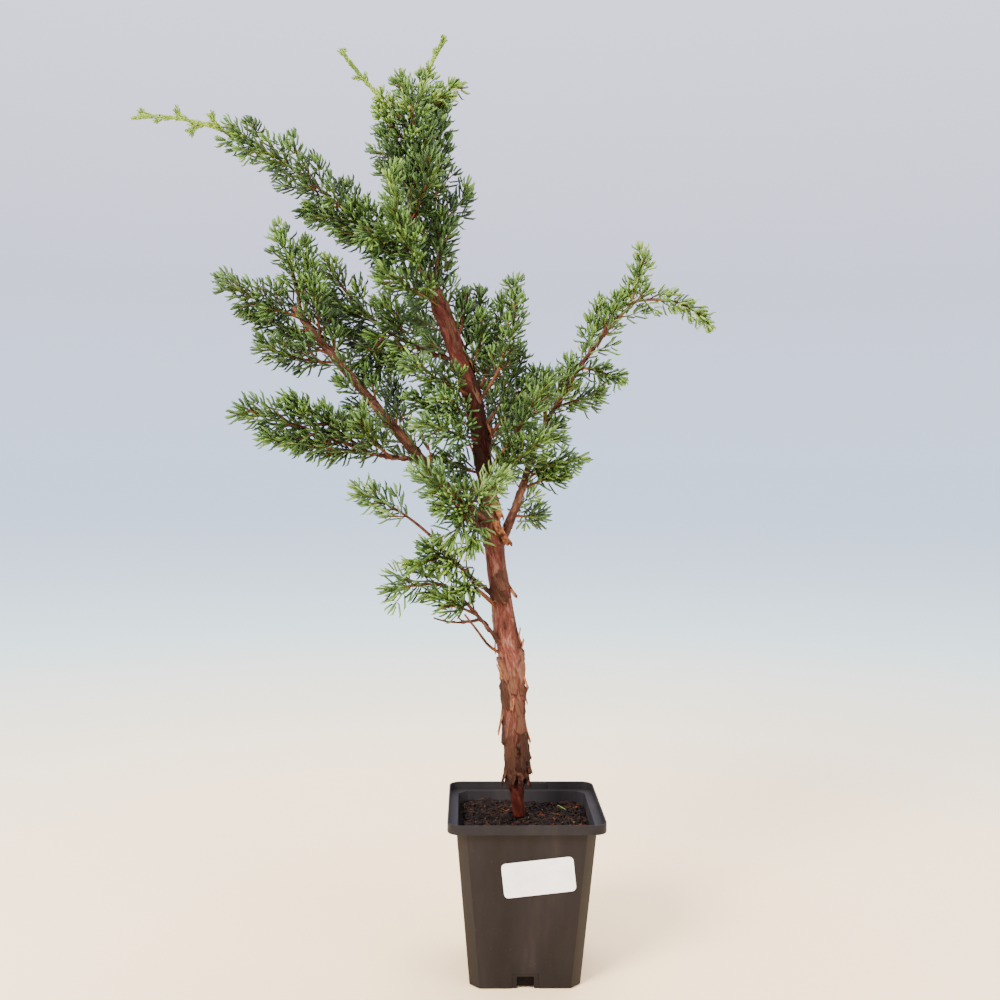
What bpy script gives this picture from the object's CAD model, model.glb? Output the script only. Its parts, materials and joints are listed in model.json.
"""A young needle-leaved juniper in its square nursery pot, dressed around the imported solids."""

import json
import math
import random
from collections import namedtuple

import bpy
import numpy as np
from mathutils import Matrix, Vector, noise
from mathutils.kdtree import KDTree

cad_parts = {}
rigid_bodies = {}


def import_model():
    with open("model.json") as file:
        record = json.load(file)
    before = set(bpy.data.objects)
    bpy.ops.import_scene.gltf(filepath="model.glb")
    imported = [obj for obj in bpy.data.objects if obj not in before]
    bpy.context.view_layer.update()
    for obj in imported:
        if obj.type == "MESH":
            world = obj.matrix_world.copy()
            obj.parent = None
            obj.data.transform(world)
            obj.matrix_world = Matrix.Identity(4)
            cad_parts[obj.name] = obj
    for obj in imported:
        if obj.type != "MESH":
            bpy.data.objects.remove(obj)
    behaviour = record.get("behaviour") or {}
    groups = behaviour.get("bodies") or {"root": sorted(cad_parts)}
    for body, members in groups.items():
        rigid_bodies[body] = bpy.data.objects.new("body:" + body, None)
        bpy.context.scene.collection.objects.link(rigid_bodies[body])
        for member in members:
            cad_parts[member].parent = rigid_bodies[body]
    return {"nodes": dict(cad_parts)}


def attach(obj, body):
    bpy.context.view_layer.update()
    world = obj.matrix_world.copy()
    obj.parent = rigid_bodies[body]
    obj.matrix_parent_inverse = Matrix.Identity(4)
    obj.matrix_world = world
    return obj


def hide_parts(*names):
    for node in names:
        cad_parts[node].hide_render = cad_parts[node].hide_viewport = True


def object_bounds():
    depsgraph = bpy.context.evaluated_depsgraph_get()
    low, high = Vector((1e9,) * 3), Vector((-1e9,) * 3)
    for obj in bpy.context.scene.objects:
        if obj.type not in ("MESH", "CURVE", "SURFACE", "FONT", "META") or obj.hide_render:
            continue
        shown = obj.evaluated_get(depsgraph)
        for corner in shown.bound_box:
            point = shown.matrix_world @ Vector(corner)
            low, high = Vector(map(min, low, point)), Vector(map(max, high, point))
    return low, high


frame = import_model()
solid_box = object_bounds()

# Pot
# A square tapered nursery pot, moulded in thin charcoal plastic that has gathered dust. Its rim
# is a wider band, and each wall has a drainage notch in a shallow recess at its foot.
GAP = 0.0003
POT_HEIGHT = 0.120
RIM_DEPTH = 0.0067
POT_FOOT_WIDTH = 0.0782
POT_BODY_WIDTH = 0.0978
POT_CORNER = 0.0071
POT_WALL = 0.0010
WALL_SLOPE = math.atan2((POT_BODY_WIDTH - POT_FOOT_WIDTH) / 2, POT_HEIGHT - RIM_DEPTH)
RECESS_WIDTH = 0.019
RECESS_HEIGHT = 0.0105
RECESS_DEPTH = 0.0006
POT_EDGE = 0.0005


def paint(red, green, blue):
    """A colour as a paint card gives it, from 0 to 255, turned into light."""
    shares = [value / 255 for value in (red, green, blue)]
    light = [share / 12.92 if share < 0.04045 else ((share + 0.055) / 1.055) ** 2.4 for share in shares]
    return (*light, 1.0)


def grey(level):
    return (level, level, level, 1.0)


def new_finish(name, roughness, specular):
    """A material with its shader's fixed values set."""
    finish = bpy.data.materials.new(name)
    finish.use_nodes = True
    shader = finish.node_tree.nodes["Principled BSDF"]
    shader.inputs["Roughness"].default_value = roughness
    shader.inputs["Specular IOR Level"].default_value = specular
    return finish, shader


def pattern_place(finish, stretch=(1, 1, 1), attribute=None):
    """The socket that a pattern is laid out by: the object's own metres, or an attribute in metres."""
    nodes, links = finish.node_tree.nodes, finish.node_tree.links
    mapping = nodes.new("ShaderNodeMapping")
    mapping.inputs["Scale"].default_value = stretch
    if attribute:
        source = nodes.new("ShaderNodeAttribute")
        source.attribute_name = attribute
        links.new(source.outputs["Vector"], mapping.inputs["Vector"])
    else:
        source = nodes.new("ShaderNodeTexCoord")
        links.new(source.outputs["Object"], mapping.inputs["Vector"])
    return mapping.outputs["Vector"]


def cloud(finish, place, scale, detail=4, roughness=0.55):
    """A noise pattern from 0 to 1."""
    made = finish.node_tree.nodes.new("ShaderNodeTexNoise")
    made.inputs["Scale"].default_value = scale
    made.inputs["Detail"].default_value = detail
    made.inputs["Roughness"].default_value = roughness
    finish.node_tree.links.new(place, made.inputs["Vector"])
    return made.outputs["Fac"]


def graded(finish, level, stops):
    """A colour that runs through the stops as the level rises."""
    made = finish.node_tree.nodes.new("ShaderNodeValToRGB")
    ramp = made.color_ramp
    while len(ramp.elements) < len(stops):
        ramp.elements.new(0.5)
    for element, (place, colour) in zip(ramp.elements, stops):
        element.position = place
        element.color = colour
    finish.node_tree.links.new(level, made.inputs["Fac"])
    return made.outputs["Color"]


def blended(finish, level, first, second):
    """The first colour where the level is 0, and the second where it is 1."""
    made = finish.node_tree.nodes.new("ShaderNodeMix")
    made.data_type = "RGBA"
    finish.node_tree.links.new(level, made.inputs["Factor"])
    colour_inputs = [socket for socket in made.inputs if socket.type == "RGBA"]
    for value, socket in zip((first, second), colour_inputs):
        finish.node_tree.links.new(value, socket)
    return [socket for socket in made.outputs if socket.type == "RGBA"][0]


def coat(finish, shader, colour):
    finish.node_tree.links.new(colour, shader.inputs["Base Color"])


def relief(finish, shader, height, distance, strength=1.0):
    """Small bumps from a pattern, in metres."""
    made = finish.node_tree.nodes.new("ShaderNodeBump")
    made.inputs["Strength"].default_value = strength
    made.inputs["Distance"].default_value = distance
    finish.node_tree.links.new(height, made.inputs["Height"])
    finish.node_tree.links.new(made.outputs["Normal"], shader.inputs["Normal"])


def ranged(finish, level, low, high):
    """The level from 0 to 1 turned into a value from low to high."""
    made = finish.node_tree.nodes.new("ShaderNodeMapRange")
    made.inputs["To Min"].default_value = low
    made.inputs["To Max"].default_value = high
    finish.node_tree.links.new(level, made.inputs["Value"])
    return made.outputs["Result"]


def select_only(piece):
    bpy.ops.object.select_all(action="DESELECT")
    piece.select_set(True)
    bpy.context.view_layer.objects.active = piece


def settle(piece):
    """Writes a piece's modifiers and its place into its mesh."""
    select_only(piece)
    for modifier in list(piece.modifiers):
        bpy.ops.object.modifier_apply(modifier=modifier.name)
    bpy.ops.object.transform_apply(location=True, rotation=True, scale=True)


def pot_plastic():
    finish, shader = new_finish("dusty_pot_plastic", 0.55, 0.10)
    place = pattern_place(finish)
    streaks = pattern_place(finish, (1, 1, 0.18))
    dust = cloud(finish, streaks, 42, 6, 0.62)
    plastic_tones = [(0.35, paint(26, 23, 24)), (0.55, paint(32, 29, 30)), (0.75, paint(44, 38, 38))]
    speck_tones = [(0.0, paint(84, 73, 64)), (1.0, paint(104, 92, 82))]
    base = graded(finish, dust, plastic_tones)
    specks = graded(finish, cloud(finish, place, 900, 2), [(0.70, grey(0)), (0.80, grey(0.45))])
    coat(finish, shader, blended(finish, specks, base, graded(finish, dust, speck_tones)))
    finish.node_tree.links.new(ranged(finish, dust, 0.40, 0.68), shader.inputs["Roughness"])
    relief(finish, shader, cloud(finish, place, 1500, 3), 0.00006, 0.5)
    return finish


bpy.ops.object.select_all(action="DESELECT")
pot = bpy.data.objects.new("square_pot", frame["nodes"]["pot"].data.copy())
bpy.context.scene.collection.objects.link(pot)
select_only(pot)
bpy.ops.object.mode_set(mode="EDIT")
bpy.ops.mesh.select_all(action="SELECT")
bpy.ops.mesh.remove_doubles(threshold=0.00001)
bpy.ops.mesh.dissolve_limited(angle_limit=math.radians(1))
bpy.ops.object.mode_set(mode="OBJECT")
for side in range(4):
    turn = Matrix.Rotation(side * math.pi / 2, 4, "Z")
    bpy.ops.mesh.primitive_cube_add(size=1, location=(0, 0, 0))
    recess = bpy.context.object
    recess.name = f"drain_recess_cutter_{side + 1}"
    recess.scale = (RECESS_WIDTH, 2 * RECESS_DEPTH, 2 * RECESS_HEIGHT)
    recess.rotation_euler = (WALL_SLOPE, 0, 0)
    recess.location = (0, -POT_FOOT_WIDTH / 2, 0)
    bpy.context.view_layer.update()
    recess.matrix_world = turn @ recess.matrix_world
    cut = pot.modifiers.new(recess.name, "BOOLEAN")
    cut.operation = "DIFFERENCE"
    cut.object = recess
soften = pot.modifiers.new("soft_edges", "BEVEL")
soften.width = POT_EDGE
soften.segments = 2
soften.limit_method = "ANGLE"
soften.angle_limit = math.radians(35)
settle(pot)
for cutter in [obj for obj in bpy.data.objects if obj.name.startswith("drain_recess_cutter")]:
    bpy.data.objects.remove(cutter)
select_only(pot)
bpy.ops.object.shade_smooth_by_angle(angle=math.radians(25))
pot.data.materials.clear()
pot.data.materials.append(pot_plastic())
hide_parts("pot")
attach(pot, "root")

# Rim panel
# A small raised panel of the same plastic, moulded on the inside of the rim's back wall. It is a
# thin block with softened edges, sunk a little into the wall.
PANEL_PLACE = (0.0118, 0.05335, 0.1165)
PANEL_SIZE = (0.0165, 0.0007, 0.0052)
PANEL_EDGE = 0.0002

bpy.ops.object.select_all(action="DESELECT")
bpy.ops.mesh.primitive_cube_add(size=1, location=PANEL_PLACE, scale=PANEL_SIZE)
panel = bpy.context.object
panel.name = "rim_panel"
rounded = panel.modifiers.new("soft_edges", "BEVEL")
rounded.width = PANEL_EDGE
rounded.segments = 2
settle(panel)
panel.data.materials.append(pot.data.materials[0])
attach(panel, "root")

# Label
# A small white paper sticker with round corners, stuck to the front wall a little crooked. It is
# left blank, with the faint dust and fibre of paper that has stood in a nursery.


def sticker_paper():
    finish, shader = new_finish("blank_sticker_paper", 0.42, 0.45)
    place = pattern_place(finish)
    stops = [(0.3, paint(226, 226, 226)), (0.7, paint(242, 242, 243))]
    coat(finish, shader, graded(finish, cloud(finish, place, 160, 5), stops))
    relief(finish, shader, cloud(finish, place, 2600, 3), 0.00003, 0.4)
    return finish


label = frame["nodes"]["label"]
label.data.materials.clear()
label.data.materials.append(sticker_paper())

# Soil
# Dark moist peat that fills the pot to 13 mm under its lip, a little higher at the back left. It
# is a block whose fine-meshed top is pushed up and down into lumps by noise.
SOIL_TOP = 0.107
SOIL_FOOT = 0.0015
SOIL_CELLS = 110
SOIL_LUMP = 0.0030
SOIL_SINK = 0.0012
HIGHEST_LUMP = 0.005
MOUND_HEIGHT = 0.0034
MOUND_PLACE = (-0.026, 0.026)
MOUND_SPREAD = 0.0006
TRUNK_FOOT = Vector((-0.0032, 0.009, SOIL_TOP))


def body_width(height):
    return POT_FOOT_WIDTH + (POT_BODY_WIDTH - POT_FOOT_WIDTH) * height / (POT_HEIGHT - RIM_DEPTH)


def soil_height(x, y):
    """How high the lumpy soil stands over its level at one place."""
    lumps = noise.noise(Vector((x, y, 0)) * 95) * 0.55 + noise.noise(Vector((x, y, 5)) * 260) * 0.45
    fine = noise.noise(Vector((x, y, 9)) * 700) * 0.25
    far = (x - MOUND_PLACE[0]) ** 2 + (y - MOUND_PLACE[1]) ** 2
    mound = MOUND_HEIGHT * math.exp(-far / MOUND_SPREAD)
    return min(HIGHEST_LUMP, (lumps + fine) * SOIL_LUMP - SOIL_SINK + mound)


def peat():
    finish, shader = new_finish("dark_peat", 0.8, 0.05)
    place = pattern_place(finish)
    stops = [(0.35, paint(7, 4, 4)), (0.55, paint(14, 9, 8)), (0.72, paint(27, 18, 14))]
    coat(finish, shader, graded(finish, cloud(finish, place, 420, 6, 0.7), stops))
    relief(finish, shader, cloud(finish, place, 1400, 6, 0.7), 0.0006)
    return finish


def held_by_corner(x, y, half, corner):
    """A place moved in, where it would lie beyond the pot's cut-off corner."""
    over = abs(x) + abs(y) - (2 * half - corner)
    if over > 0:
        x -= math.copysign(over / 2, x)
        y -= math.copysign(over / 2, y)
    return x, y


soil_half = body_width(SOIL_TOP) / 2 - POT_WALL - GAP
foot_half = body_width(SOIL_FOOT) / 2 - POT_WALL - GAP
bpy.ops.object.select_all(action="DESELECT")
bpy.ops.mesh.primitive_grid_add(
    x_subdivisions=SOIL_CELLS, y_subdivisions=SOIL_CELLS, size=2 * soil_half, location=(0, 0, SOIL_TOP)
)
soil = bpy.context.object
soil.name = "potting_soil"
bpy.ops.object.transform_apply(location=True, rotation=True, scale=True)
bpy.ops.object.mode_set(mode="EDIT")
bpy.ops.mesh.select_all(action="SELECT")
bpy.ops.mesh.extrude_region_move(TRANSFORM_OT_translate={"value": (0, 0, SOIL_FOOT - SOIL_TOP)})
bpy.ops.mesh.normals_make_consistent(inside=False)
bpy.ops.object.mode_set(mode="OBJECT")
for vert in soil.data.vertices:
    low = vert.co.z < SOIL_TOP / 2
    half = foot_half if low else soil_half
    corner = POT_CORNER if low else POT_CORNER + 0.001
    shrink = half / soil_half
    x, y = held_by_corner(vert.co.x * shrink, vert.co.y * shrink, half, corner)
    vert.co = (x, y, vert.co.z if low else SOIL_TOP + soil_height(x, y))
select_only(soil)
bpy.ops.object.shade_smooth_by_angle(angle=math.radians(60))
soil.data.materials.append(peat())
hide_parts("soil")
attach(soil, "root")

# Crumbs on the soil
# Peat crumbs, chips of orange-brown bark, pale grit and dry bowed fibres. Each kind is modelled
# once, and its copies are dealt out over the soil's lumps and joined by arrays.
LITTER_REACH = soil_half - 0.003
CORNER_ROOM = 0.005
TRUNK_ROOM = 0.0075


def small_model(make, reshape):
    """The corner points and triangles of a small thing that is modelled once."""
    bpy.ops.object.select_all(action="DESELECT")
    make()
    model = bpy.context.object
    bpy.ops.object.transform_apply(location=True, rotation=True, scale=True)
    for vert in model.data.vertices:
        vert.co = reshape(vert.co.copy())
    model.data.calc_loop_triangles()
    corners = np.array([vert.co for vert in model.data.vertices], np.float32)
    faces = np.array([face.vertices for face in model.data.loop_triangles], np.int32)
    bpy.data.objects.remove(model)
    return corners, faces


def joined(name, corners, faces, finish, slot):
    """One object from arrays of points and triangles, shaded smooth."""
    mesh = bpy.data.meshes.new(name)
    mesh.vertices.add(len(corners))
    mesh.vertices.foreach_set("co", np.ascontiguousarray(corners, np.float32).ravel())
    mesh.loops.add(len(faces) * 3)
    mesh.loops.foreach_set("vertex_index", np.ascontiguousarray(faces, np.int32).ravel())
    mesh.polygons.add(len(faces))
    mesh.polygons.foreach_set("loop_start", np.arange(0, len(faces) * 3, 3, dtype=np.int32))
    mesh.polygons.foreach_set("use_smooth", np.ones(len(faces), bool))
    mesh.update(calc_edges=True)
    mesh.validate()
    mesh.materials.append(finish)
    piece = bpy.data.objects.new(name, mesh)
    bpy.context.scene.collection.objects.link(piece)
    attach(piece, "root")
    return piece


def copies(model, places):
    """The points and triangles of a model at each of many places, given as 3 by 4 matrices."""
    corners, faces = model
    places = np.asarray(places, np.float32).reshape(-1, 3, 4)
    points = np.einsum("nij,kj->nki", places[:, :, :3], corners) + places[:, None, :, 3]
    starts = np.arange(len(places), dtype=np.int32) * len(corners)
    return points.reshape(-1, 3), (faces[None] + starts[:, None, None]).reshape(-1, 3)


def lying_place(dice, sizes, lift):
    """A random place on the soil, off the trunk, turned any way and sized along its own axes."""
    while True:
        x, y = dice.uniform(-LITTER_REACH, LITTER_REACH), dice.uniform(-LITTER_REACH, LITTER_REACH)
        in_pot = abs(x) + abs(y) < 2 * soil_half - POT_CORNER - CORNER_ROOM
        if in_pot and math.hypot(x - TRUNK_FOOT.x, y - TRUNK_FOOT.y) > TRUNK_ROOM:
            break
    turn = Matrix.Rotation(dice.uniform(0, 2 * math.pi), 3, "Z")
    tilt = Matrix.Rotation(dice.gauss(0, 0.35), 3, "X") @ Matrix.Rotation(dice.gauss(0, 0.35), 3, "Y")
    size = Matrix.Diagonal([value * dice.uniform(0.6, 1.5) for value in sizes])
    place = (turn @ tilt @ size).to_4x4()
    place.translation = (x, y, SOIL_TOP + soil_height(x, y) + lift)
    return [list(row) for row in place][:3]


def ragged(amount, seed):
    """Moves a model's points in and out by noise, so that it isn't a plain ball or block."""
    return lambda point: point * (1 + amount * noise.noise(point * 1.7 + Vector((seed, 0, 0))))


def stain(name, dark, light, scale, roughness=0.85):
    """A dull natural finish that varies between two colours."""
    finish, shader = new_finish(name, roughness, 0.06)
    place = pattern_place(finish)
    coat(finish, shader, graded(finish, cloud(finish, place, scale, 4, 0.6), [(0.36, dark), (0.64, light)]))
    relief(finish, shader, cloud(finish, place, scale * 4, 3), 0.0003)
    return finish


def ball():
    bpy.ops.mesh.primitive_ico_sphere_add(subdivisions=1, radius=1)


def block():
    bpy.ops.mesh.primitive_cube_add(size=2)
    bpy.ops.object.mode_set(mode="EDIT")
    bpy.ops.mesh.bevel(offset=0.35, segments=1)
    bpy.ops.object.mode_set(mode="OBJECT")


def straw():
    bpy.ops.mesh.primitive_cylinder_add(vertices=4, radius=1, depth=2)
    bpy.ops.object.mode_set(mode="EDIT")
    bpy.ops.mesh.select_all(action="DESELECT")
    bpy.ops.object.mode_set(mode="OBJECT")
    for edge in bpy.context.object.data.edges:
        ends = [bpy.context.object.data.vertices[index].co for index in edge.vertices]
        edge.select = abs(ends[0].z - ends[1].z) > 1
    bpy.ops.object.mode_set(mode="EDIT")
    bpy.ops.mesh.subdivide(number_cuts=4)
    bpy.ops.object.mode_set(mode="OBJECT")


def bent_straw(point):
    """A straw that lies along X and bows to one side."""
    return Vector((point.z, point.x + 3.5 * math.cos(point.z * 1.3), point.y))


dice = random.Random("soil")
crumb = small_model(ball, ragged(0.5, 1))
chip = small_model(block, ragged(0.3, 4))
fibre = small_model(straw, bent_straw)
# Each kind: its stain's name, two colours, scale and roughness; then its own name, model and
# number, half its sizes, how far it lies over the soil, and its stain
crumb_stain = ("peat_crumb", paint(7, 4, 4), paint(27, 18, 14), 300, 0.5)
bit_stain = ("bark_bit", paint(34, 17, 11), paint(92, 46, 28), 160)
grit_stain = ("grit", paint(92, 78, 62), paint(150, 132, 110), 260)
fibre_stain = ("dry_fibre", paint(38, 24, 16), paint(98, 68, 46), 220)
LITTER = (
    ("crumbs", crumb, 3400, (0.0010, 0.0010, 0.0008), 0.0003, crumb_stain),
    ("bark_bits", chip, 70, (0.0013, 0.0008, 0.0004), 0.0006, bit_stain),
    ("grit", crumb, 40, (0.0004, 0.0004, 0.0003), 0.0006, grit_stain),
    ("fibres", fibre, 150, (0.0042, 0.00012, 0.00012), 0.0012, fibre_stain),
)
for name, model, count, sizes, lift, tones in LITTER:
    places = [lying_place(dice, sizes, lift) for _ in range(count)]
    joined(f"soil_{name}", *copies(model, places), stain(*tones), "soil")

# Trunk
# One leaning stem from a bare narrow peg at the soil to a broken stub at the top, with smooth
# cinnamon under-bark that shows between grey-tan outer strips, which split and peel lengthwise.
MM = 0.001
TRUNK = (
    (-3.2, 9, 107.3, 4.3),
    (-4.8, 8, 122.1, 5.2),
    (-5.7, 7, 137.2, 7.4),
    (-5.9, 6, 153.8, 8.9),
    (-8.5, 3, 194.2, 8.8),
    (-10.3, 1, 222.4, 8.9),
    (-17.1, 1, 263.2, 7.4),
    (-23.9, 2, 307.3, 6.9),
    (-30, 1, 357.9, 6),
    (-38.3, -2, 407.3, 6.2),
    (-53.5, -4, 454, 6.4),
    (-62.9, -5, 477.2, 6),
    (-71.8, -6, 500.9, 4),
)
TRUNK_SIDES = 104
TRUNK_CUTS = (23, 19)
Flake = namedtuple("Flake", "run turn half_length half_width lift tone free_end")
# Each flake: how far up the trunk and how far round from the front (in mm and degrees, right is
# plus), half its length and width, how far its free end lifts, its paleness, and that end
TRUNK_FLAKES = (
    (31, -78, 8, 6, 2.8, 0.05, "low"),
    (46, -30, 18, 4.5, 1.8, 0.38, "low"),
    (48, 18, 16, 3.0, 1.4, 0.10, "low"),
    (52, 52, 24, 5.0, 3.0, 0.30, "low"),
    (46, 100, 20, 6, 3.0, 0.16, "low"),
    (70, -78, 13, 4.5, 2.4, 0.15, "low"),
    (76, 30, 12, 4, 1.5, 0.52, "low"),
    (84, 80, 12, 4.5, 2.3, 0.28, "high"),
    (92, -50, 12, 5, 1.5, 0.20, "high"),
    (103, 4, 10, 3.5, 1.2, 0.48, "low"),
    (110, 66, 15, 4.8, 2.6, 0.62, "high"),
    (112, -66, 10, 6, 2.4, 0.55, "high"),
    (126, 92, 12, 4, 1.8, 0.22, "low"),
    (139, 80, 14, 3.5, 1.8, 0.20, "low"),
    (151, -88, 17, 3.5, 1.8, 0.80, "low"),
    (171, -8, 11, 6.5, 2.0, 0.30, "low"),
    (176, 24, 8, 4, 1.7, 0.45, "low"),
    (190, 72, 18, 3.5, 1.8, 0.40, "high"),
    (214, -50, 14, 4.5, 1.3, 0.35, "low"),
    (246, 30, 18, 5, 1.6, 0.15, "low"),
    (262, -30, 14, 5, 1.6, 0.12, "high"),
    (300, 60, 22, 4, 1.6, 0.10, "low"),
    (330, 78, 20, 3.5, 1.5, 0.12, "low"),
    (366, 52, 12, 2.2, 1.6, 0.45, "high"),
)
LOOSE_FLAKES = 46
SHREDS = 150
FLAKE_TURN = 2.4
FLAKE_THICKNESS = 0.00035
BARE_FOOT = 0.045


class Path:
    """A smooth line through points, with a radius at each, that is read by a share of its length."""

    def __init__(self, points, radii):
        self.points = [2 * points[0] - points[1], *points, 2 * points[-1] - points[-2]]
        self.radii = radii
        self.runs = [0.0]
        for last, point in zip(points, points[1:]):
            self.runs.append(self.runs[-1] + (point - last).length)
        self.length = self.runs[-1]

    def at(self, share):
        """The point, the way along and the radius at a share of the length."""
        run = share * self.length
        piece = 1
        while self.runs[piece] < run and piece < len(self.runs) - 1:
            piece += 1
        part = (run - self.runs[piece - 1]) / (self.runs[piece] - self.runs[piece - 1])
        before, start, end, after = self.points[piece - 1 : piece + 3]
        swing = 2 * before - 5 * start + 4 * end - after
        curl = 3 * (start - end) + after - before
        point = start + part / 2 * (end - before + part * (swing + part * curl))
        along = (end - before + part * (2 * swing + part * 3 * curl)).normalized()
        radius = self.radii[piece - 1] + (self.radii[piece] - self.radii[piece - 1]) * part
        return point, along, radius


def side_ways(path, along):
    """Two ways square to a path, turned the same all along it."""
    chord = path.points[-2] - path.points[1]
    axes = (Vector((1, 0, 0)), Vector((0, 1, 0)), Vector((0, 0, 1)))
    first = along.cross(min(axes, key=lambda axis: abs(chord.dot(axis)))).normalized()
    return first, along.cross(first)


def side_at(path, along, angle):
    """The way square to a path at an angle round it."""
    first, second = side_ways(path, along)
    return first * math.cos(angle) + second * math.sin(angle)


def ringed_cylinder(name, sides, cuts):
    """A cylinder one unit long whose upright edges are cut into many rings."""
    bpy.ops.object.select_all(action="DESELECT")
    bpy.ops.mesh.primitive_cylinder_add(vertices=sides, radius=1, depth=1, location=(0, 0, 0.5))
    made = bpy.context.object
    made.name = name
    bpy.ops.object.transform_apply(location=True, rotation=True, scale=True)
    bpy.context.tool_settings.mesh_select_mode = (False, True, False)
    for number in cuts:
        for vert in made.data.vertices:
            vert.select = False
        for face in made.data.polygons:
            face.select = False
        for edge in made.data.edges:
            low, high = (made.data.vertices[index].co for index in edge.vertices)
            edge.select = abs(low.z - high.z) > 1e-6
        bpy.ops.object.mode_set(mode="EDIT")
        bpy.ops.mesh.subdivide(number_cuts=number)
        bpy.ops.object.mode_set(mode="OBJECT")
    return made


def noise_at(places, scale, seed):
    """Noise at many places, which are stretched by the scale along each axis."""
    stretched = places * np.array(scale) + seed
    return np.array([noise.noise(Vector(row)) for row in stretched.tolist()])


def loose_flakes(dice, path, count, sizes, lift):
    """Flakes dealt out over a limb by the golden angle, sized by the limb's thickness."""
    made = []
    for number in range(count):
        run = path.length * (number + dice.uniform(0.1, 0.9)) / count
        radius = path.at(run / path.length)[2]
        half_length, half_width = (value * radius * dice.uniform(0.7, 1.3) for value in sizes)
        tone = dice.uniform(0.1, 0.7)
        end = dice.choice(("low", "low", "high"))
        stand = lift * radius * dice.random()
        made.append(Flake(run, number * FLAKE_TURN, half_length, half_width, stand, tone, end))
    return made


def overlapped(flakes, angle, run, radius, ragged):
    """How far the bark stands out, and its strip, tone and edge levels, where flakes overlap."""
    lift, strip, edge = np.zeros(len(run)), np.zeros(len(run)), np.zeros(len(run))
    tone = np.full(len(run), 0.5)
    for flake in flakes:
        across = ((angle - flake.turn + math.pi) % (2 * math.pi) - math.pi) * radius / flake.half_width
        upward = (run - flake.run) / flake.half_length
        across, upward = across + ragged[0] * 0.55, upward + ragged[1] * 0.35
        ring_out = (np.abs(across) ** 3 + np.abs(upward) ** 3) ** (1 / 3)
        inside = np.clip((1.05 - ring_out) / 0.11, 0, 1)
        free = np.clip((1 - upward if flake.free_end == "low" else 1 + upward) / 2, 0, 1)
        curl = FLAKE_THICKNESS * np.clip(np.abs(across), 0, 1) ** 4
        height = inside * (FLAKE_THICKNESS + flake.lift * free**2.2 + curl)
        over = height > lift
        lift = np.where(over, height, lift)
        strip = np.where(over, inside, strip)
        tone = np.where(over, flake.tone, tone)
        rim = np.exp(-(((ring_out - 1.03) / 0.07) ** 2)) * (0.12 + 0.88 * free**1.5) * ragged[2]
        edge = np.maximum(np.where(over & (inside > 0.9), edge * 0.2, edge), rim)
    return lift, strip, tone, np.clip(edge, 0, 1)


def bark_limb(name, path, sides, cuts, flakes, core):
    """A ringed cylinder bent along the path, whose bark overlaps in flakes that lift at one end."""
    limb = ringed_cylinder(name, sides, cuts)
    flat = np.empty(len(limb.data.vertices) * 3, np.float32)
    limb.data.vertices.foreach_get("co", flat)
    flat = flat.reshape(-1, 3)
    shares, ring = np.unique(np.clip(np.round(flat[:, 2], 5), 0, 1), return_inverse=True)
    rows = [path.at(share) for share in shares.tolist()]
    ways = [side_ways(path, row[1]) for row in rows]
    middles, radius = (np.array([row[part] for row in rows])[ring] for part in (0, 2))
    firsts, seconds = (np.array([way[part] for way in ways])[ring] for part in (0, 1))
    angle = np.arctan2(flat[:, 1], flat[:, 0])
    run = shares[ring] * path.length
    shift = random.Random(name).uniform(0, 9)
    straight = np.stack([radius * np.cos(angle), radius * np.sin(angle), run + shift], axis=1)
    swirl = angle + run * 9 + noise_at(straight, (45, 45, 30), 21) * 1.1
    swirled = np.stack([radius * np.cos(swirl), radius * np.sin(swirl), run + shift], axis=1)
    swell = noise_at(straight, (75, 75, 40), 0) * 0.10 * radius
    grain = noise_at(swirled, (1000, 1000, 90), 3) * 0.0002
    knobs = np.maximum(0, noise_at(straight, (260, 260, 200), 11) - 0.25) * 0.12 * radius
    ragged = [noise_at(straight, (420, 420, 150), 5), noise_at(straight, (330, 330, 170), 8)]
    ragged.append(np.clip(0.75 + noise_at(straight, (150, 150, 90), 13), 0, 1))
    lift, strip, tone, edge = overlapped(flakes, angle, run, radius, ragged)
    outer = (flat[:, 0] ** 2 + flat[:, 1] ** 2 > 0.5).astype(float)
    reach = np.maximum(radius * 0.55, radius * core + swell + grain + knobs + lift)
    outward = firsts * np.cos(angle)[:, None] + seconds * np.sin(angle)[:, None]
    placed = middles + outward * (reach * (0.8 + 0.2 * outer))[:, None]
    limb.data.vertices.foreach_set("co", placed.astype(np.float32).ravel())
    levels = {"bark_strip": strip, "bark_edge": edge, "bark_tone": tone, "bark_run": run / path.length}
    for title, values in levels.items():
        made = limb.data.attributes.new(title, "FLOAT", "POINT")
        made.data.foreach_set("value", values.astype(np.float32))
    place = limb.data.attributes.new("straight_place", "FLOAT_VECTOR", "POINT")
    place.data.foreach_set("vector", swirled.astype(np.float32).ravel())
    limb.data.update()
    select_only(limb)
    bpy.ops.object.shade_smooth()
    return limb


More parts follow.
